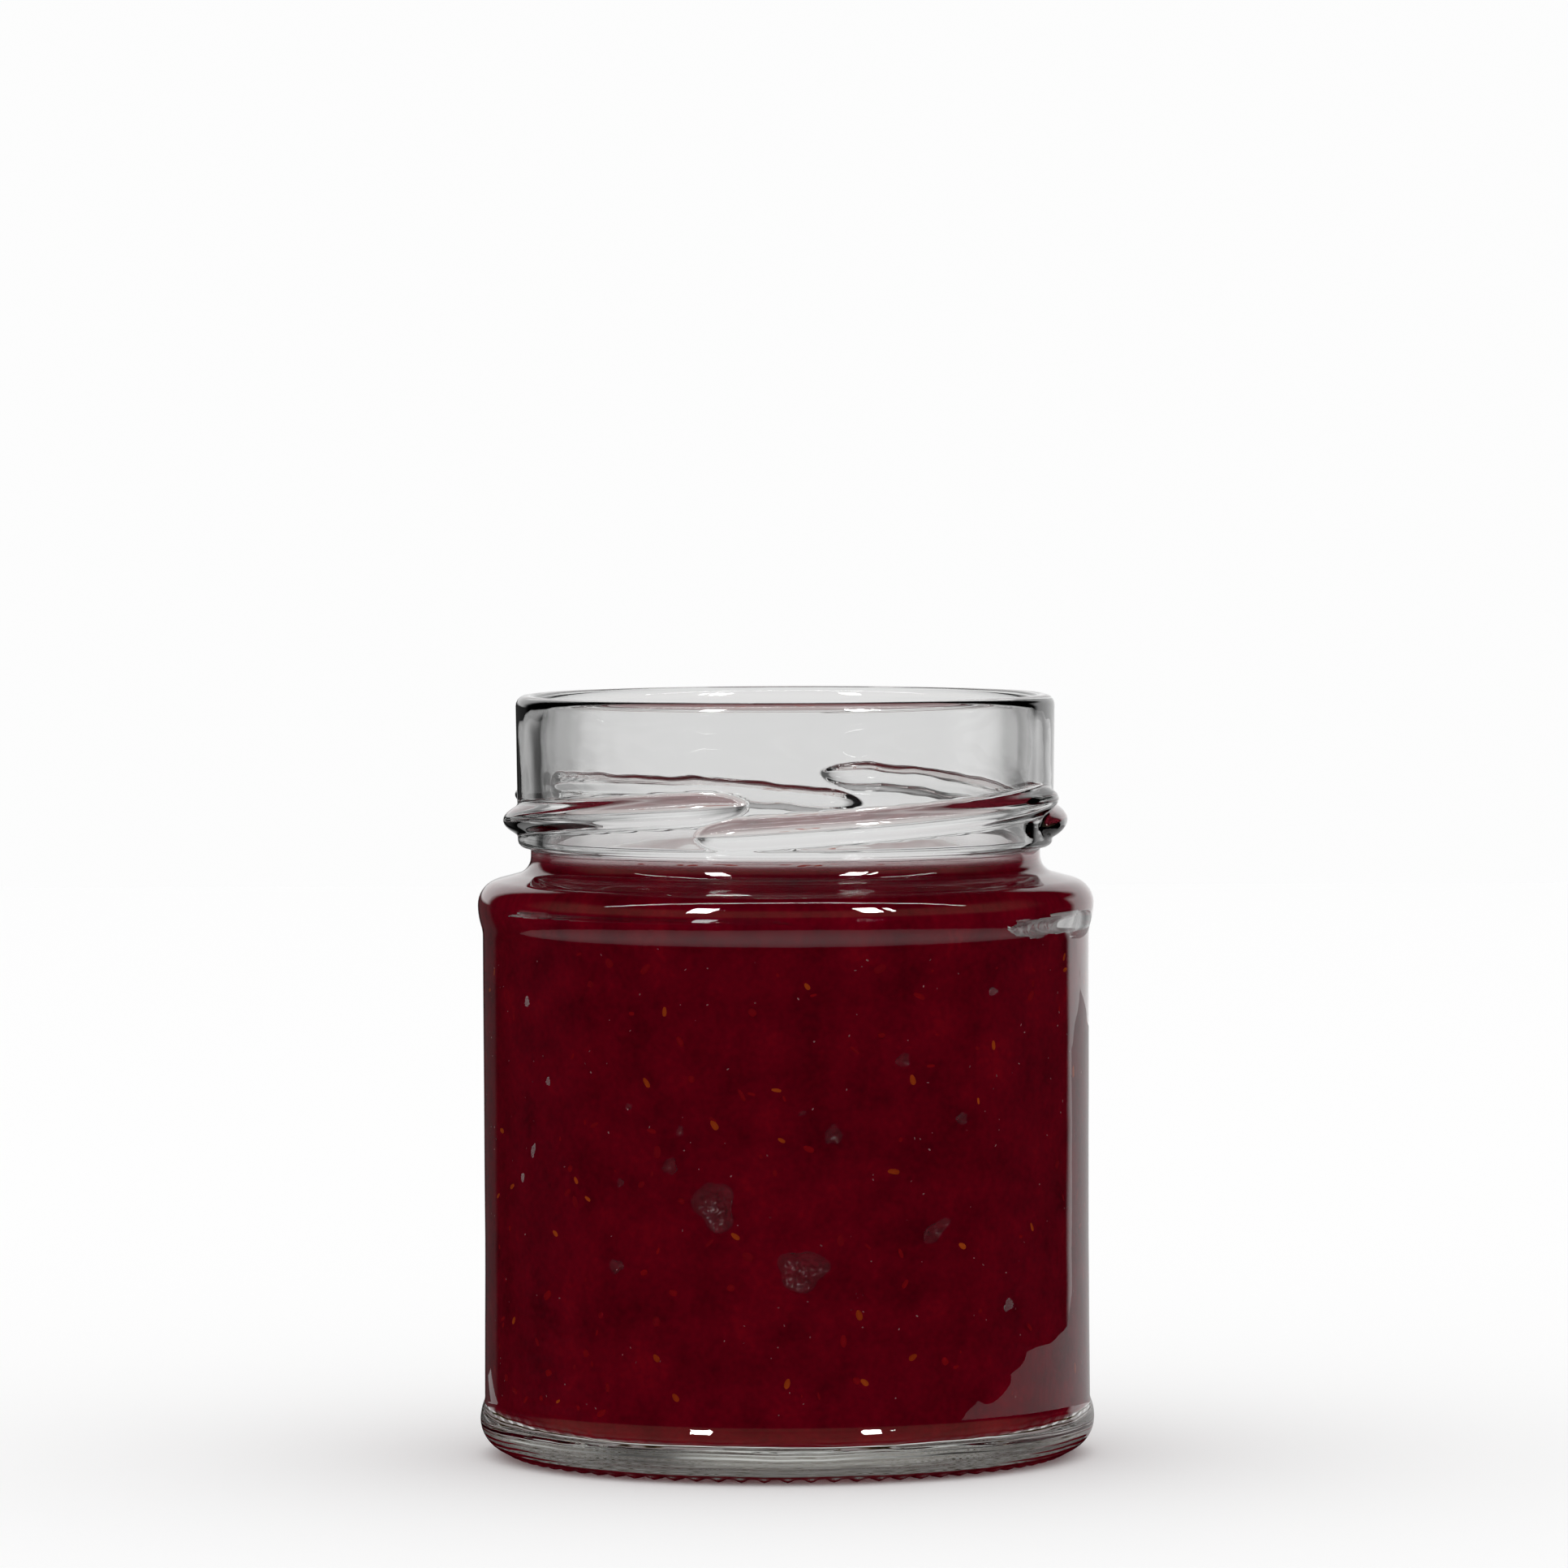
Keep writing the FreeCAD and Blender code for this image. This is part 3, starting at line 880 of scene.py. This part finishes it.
def make_bits(bubbles):
    """Seeds, pulp and specks that show through the glass, and seeds on top."""
    draw = random.Random(5)
    scatter("berry_seeds", scattered("berry_seed_husk", 0.5, "#a43610", "#c8561a", 9.0),
            seed_places(draw, bubbles),
            lambda: pip_shape(draw.uniform(1.1, 1.5), draw.uniform(0.8, 1.0), 0.7, 0.3))
    scatter("berry_pulp", scattered("soft_berry_pulp", 0.6, "#840617", "#960a14", 6.0),
            lay_on_wall(random_spots(pulp_count, 7, 57, draw, bubbles, 0.6), draw, -0.16, -0.06),
            lambda: pip_shape(draw.uniform(0.6, 1.7), draw.uniform(0.5, 1.2), draw.uniform(0.28, 0.4), 0.2))
    scatter("pale_specks", scattered("pale_pectin_speck", 0.4, "#7c2c34", "#c49a98", 3.0),
            lay_on_wall(random_spots(speck_count, 7, 58, draw, bubbles, 0.2), draw, -0.03, 0.03),
            lambda: pip_shape(draw.uniform(0.12, 0.34), draw.uniform(0.1, 0.2), 0.12, 0.1, 4, 6))


# ---- studio ------------------------------------

def flat_piece(name, corners, level, material):
    return add_piece(name, [(x, y, level) for x, y in corners], [list(range(len(corners)))], [material])


def matt_paint(name, level):
    material = new_material(name)
    put_out(material, add_node(material, "ShaderNodeBsdfDiffuse", {"Color": grey(level)}))
    return material


def make_floor():
    """A pale floor for the camera and for matt things, and cards that mirrors show in its place.

    Glass mirrors only a grey card on either side, so that the jam doesn't look milky. A dark round under
    the jar keeps the floor's glow off its heel.
    """
    far = 1200.0
    floor = flat_piece("floor", [(-far, -far), (far, -far), (far, far), (-far, far)], -0.02,
                       matt_paint("pale_floor", 0.97))
    floor.visible_glossy = False
    floor.visible_transmission = False
    grey_card = matt_paint("grey_card", 0.5)
    right = [(48, -40), (80, -63), (116, -49), (133, -22), (163, 12), (157, 54), (144, 98), (161, 141),
             (231, 225), (440, 470), (440, 700), (0, 700), (34, 10)]
    left = [(-60, 40), (-72, 45), (-75, 85), (-62, 80)]
    under = [Vector(heading_of(turn)) * 58 for turn in range(0, 360, 10)]
    mirrored = [flat_piece("mirrored_card_right", right, -0.01, grey_card),
                flat_piece("mirrored_card_left", left, -0.01, grey_card),
                flat_piece("dark_under_jar", under, -0.015, matt_paint("black_card", 0))]
    for piece in mirrored:
        piece.visible_transmission = False
        piece.visible_camera = False
        piece.visible_diffuse = False
        piece.visible_shadow = False


class Studio:
    """The world's nodes: a brightness for every direction, which differs by what the ray has met."""

    room, front, dark = 0.8, 0.1, 0.004

    def __init__(self, world):
        self.world = world
        self.rays = add_node(world, "ShaderNodeLightPath").outputs
        where = add_node(world, "ShaderNodeTexCoord").outputs["Generated"]
        axes = add_node(world, "ShaderNodeSeparateXYZ", {"Vector": where}).outputs
        bearing = calculate(world, "ARCTAN2", axes["X"], axes["Y"])
        self.turn = remap(world, bearing, -math.pi, math.pi, 0, 1)
        self.height = axes["Z"]
        self.steepness = calculate(world, "ABSOLUTE", self.height)
        self.was_mirrored = calculate(world, "GREATER_THAN", self.rays["Glossy Depth"], 0.5)

    def levels(self, source, stops):
        """Brightness by the source's number: stops are pairs of number and level."""
        return ramp(self.world, source, [(position, grey(level)) for position, level in stops])

    def by_bearing(self, stops):
        """Brightness round the jar, by bearing in degrees from straight behind, to the right."""
        return self.levels(self.turn, [((degrees + 180) / 360, level) for degrees, level in stops])

    def both(self, first, second):
        return calculate(self.world, "MULTIPLY", first, second)

    def mix(self, factor, low, high):
        return blend(self.world, factor, low, high)

    def through_glass(self):
        """What shows through glass: a bright backdrop with dark flags at its sides. Rays that have been
        mirrored find the flags elsewhere, a dim front, and a dark overhead that is lighter straight up."""
        room = self.room
        straight = self.by_bearing([
            (-56, room), (-48, 0.05), (-22, 0.05), (-17, 0.3), (-11, 0.36), (-8, 0.58), (-4, 0.8), (6, 0.8),
            (10, 0.62), (14, 0.42), (16, 0.12), (24, 0.1), (30, 0.3), (56, room)])
        bent = self.by_bearing([
            (-56, room), (-41, 0.03), (-36, 0.06), (-33, 0.22), (-29, 0.4), (-24, 0.5), (-12, room),
            (8, room), (12, 0.55), (16, 0.2), (21, 0.06), (26, 0.2), (31, 0.45), (56, room)])
        steep = self.levels(self.steepness, [(0.3, 0), (0.5, 1)])
        round_about = self.mix(steep, self.mix(self.was_mirrored, straight, bent), grey(room))
        in_front = self.both(self.by_bearing([(-100, 1), (-80, 0), (80, 0), (100, 1)]), self.was_mirrored)
        overhead = self.both(self.levels(self.height, [(0.22, 0), (0.32, 1)]), self.was_mirrored)
        ceiling = self.levels(self.height, [(0.8, 0.02), (0.95, 0.45)])
        return self.mix(overhead, self.mix(in_front, round_about, grey(self.front)), ceiling)

    def off_the_outside(self):
        """What the outside of the glass mirrors: a dark room but for the backdrop's right half, a part
        above and behind, and a dim olive room behind the camera."""
        dark = self.dark
        backdrop = self.by_bearing([(-36, dark), (-32, 0.05), (-15, 0.05), (-12, dark), (-9, dark), (0, 1.0),
                                    (42, 1.0), (46, dark)])
        low = self.levels(self.steepness, [(0.2, 1), (0.3, 0)])
        behind_camera = self.both(self.by_bearing([(-85, 1), (-60, 0), (60, 0), (95, 1)]),
                                  self.levels(self.height, [(0.05, 0), (0.2, 1), (0.5, 1), (0.65, 0)]))
        above_behind = self.both(self.levels(self.height, [(0.02, 0), (0.06, 1), (0.55, 1), (0.65, 0)]),
                                 self.by_bearing([(-34, 0), (-28, 1), (28, 1), (34, 0)]))
        olive = self.mix(behind_camera, grey(dark), linear("#857c62"))
        around = self.mix(behind_camera, self.mix(low, olive, backdrop), olive)
        return self.mix(above_behind, around, grey(1))


def make_world():
    """A pale studio. The camera sees plain pale all round and matt things are lit evenly; only what the
    glass shows and mirrors has the bright backdrop, the dark flags and the dim room."""
    world = bpy.data.worlds.new("studio")
    bpy.context.scene.world = world
    world.use_nodes = True
    world.node_tree.nodes.clear()
    studio = Studio(world)
    rays = studio.rays
    before_glass = calculate(world, "LESS_THAN", rays["Transmission Depth"], 0.5)
    off_outside = studio.both(rays["Is Glossy Ray"], before_glass)
    seen = studio.mix(off_outside, studio.through_glass(), studio.off_the_outside())
    off_matt = calculate(world, "GREATER_THAN", rays["Diffuse Depth"], 0.5)
    behind_glass = studio.mix(off_matt, seen, grey(studio.room))
    lit = studio.mix(rays["Is Diffuse Ray"], behind_glass, grey(1.03))
    shown = studio.mix(rays["Is Camera Ray"], lit, grey(0.98))
    light = add_node(world, "ShaderNodeBackground", {"Color": shown})
    add_node(world, "ShaderNodeOutputWorld", {"Surface": light.outputs[0]})


def new_lamp(name, shape, path_depth):
    """An area lamp that casts nothing on matt things, which the room lights evenly.

    It shines only on rays whose path_depth is still 0: with "Diffuse Depth" it shows in glass and gloss,
    with "Transmission Depth" in the outside of the glass alone.
    """
    lamp = bpy.data.lights.new(name, "AREA")
    lamp.shape = shape
    lamp.use_nodes = True
    lamp.node_tree.nodes.clear()
    rays = add_node(lamp, "ShaderNodeLightPath").outputs
    shows = calculate(lamp, "LESS_THAN", rays[path_depth], 0.5)
    glow = add_node(lamp, "ShaderNodeEmission", {"Strength": shows})
    add_node(lamp, "ShaderNodeOutputLight", {"Surface": glow.outputs[0]})
    return lamp


def place_lamp(lamp, place, rotation):
    """Puts a lamp where neither the camera nor matt things see it."""
    holder = bpy.data.objects.new(lamp.name, lamp)
    holder.location = place
    holder.rotation_euler = rotation
    holder.visible_camera = False
    holder.visible_diffuse = False
    bpy.context.scene.collection.objects.link(holder)
    return holder


def make_softbox(name, azimuth, elevation, distance, width, height, radiance, path_depth="Diffuse Depth"):
    """A flat light that faces the jar; azimuth is in degrees from the front, to the right."""
    lamp = new_lamp(name, "RECTANGLE", path_depth)
    lamp.size, lamp.size_y = width, height
    lamp.energy = radiance * math.pi * width * height
    turn, rise = math.radians(FRONT + azimuth), math.radians(elevation)
    away = Vector((math.cos(turn) * math.cos(rise), math.sin(turn) * math.cos(rise), math.sin(rise)))
    target = Vector((0, 0, total_height / 2 * MM))
    place_lamp(lamp, target + away * distance, away.to_track_quat("Z", "Y").to_euler())


def make_glow():
    """A round glow just under the floor, which only mirrors at steep looks catch: the shoulder bead does,
    the panel can't."""
    radius, radiance = 0.205, 0.84
    lamp = new_lamp("floor_glow", "DISK", "Diffuse Depth")
    lamp.size = 2 * radius
    lamp.energy = radiance * math.pi * math.pi * radius ** 2
    lamp.spread = math.radians(150)
    glow = place_lamp(lamp, (0, 0, -0.5 * MM), (math.pi, 0, 0))
    glow.visible_transmission = False


def make_camera():
    tilt_down, roll = 2.4, 0.19      # degrees
    lens = bpy.data.cameras.new("camera")
    lens.sensor_width = 36.0
    lens.lens = 217.4
    lens.clip_start = 0.05
    camera = bpy.data.objects.new("camera", lens)
    camera.location = (0, -1.049, 0.1183)
    camera.rotation_euler = (math.radians(90 - tilt_down), math.radians(roll), 0)
    bpy.context.scene.collection.objects.link(camera)
    bpy.context.scene.camera = camera


make_camera()
make_glass()
air = all_bubbles()
make_jam(air)
make_smear()
make_bits(air)
make_floor()
make_world()
side_box = {"elevation": 35, "distance": 1.2, "radiance": 42}
make_softbox("softbox_left", azimuth=-34, width=0.16, height=0.42, **side_box)
make_softbox("softbox_right", azimuth=34, width=0.16, height=0.42, **side_box)
make_softbox("softbox_small", azimuth=43, width=0.04, height=0.3, **side_box)
make_softbox("overhead_strip", azimuth=0, elevation=74, distance=0.8, width=2.2, height=0.045, radiance=12,
             path_depth="Transmission Depth")
make_glow()

bpy.context.scene.view_settings.view_transform = "Standard"
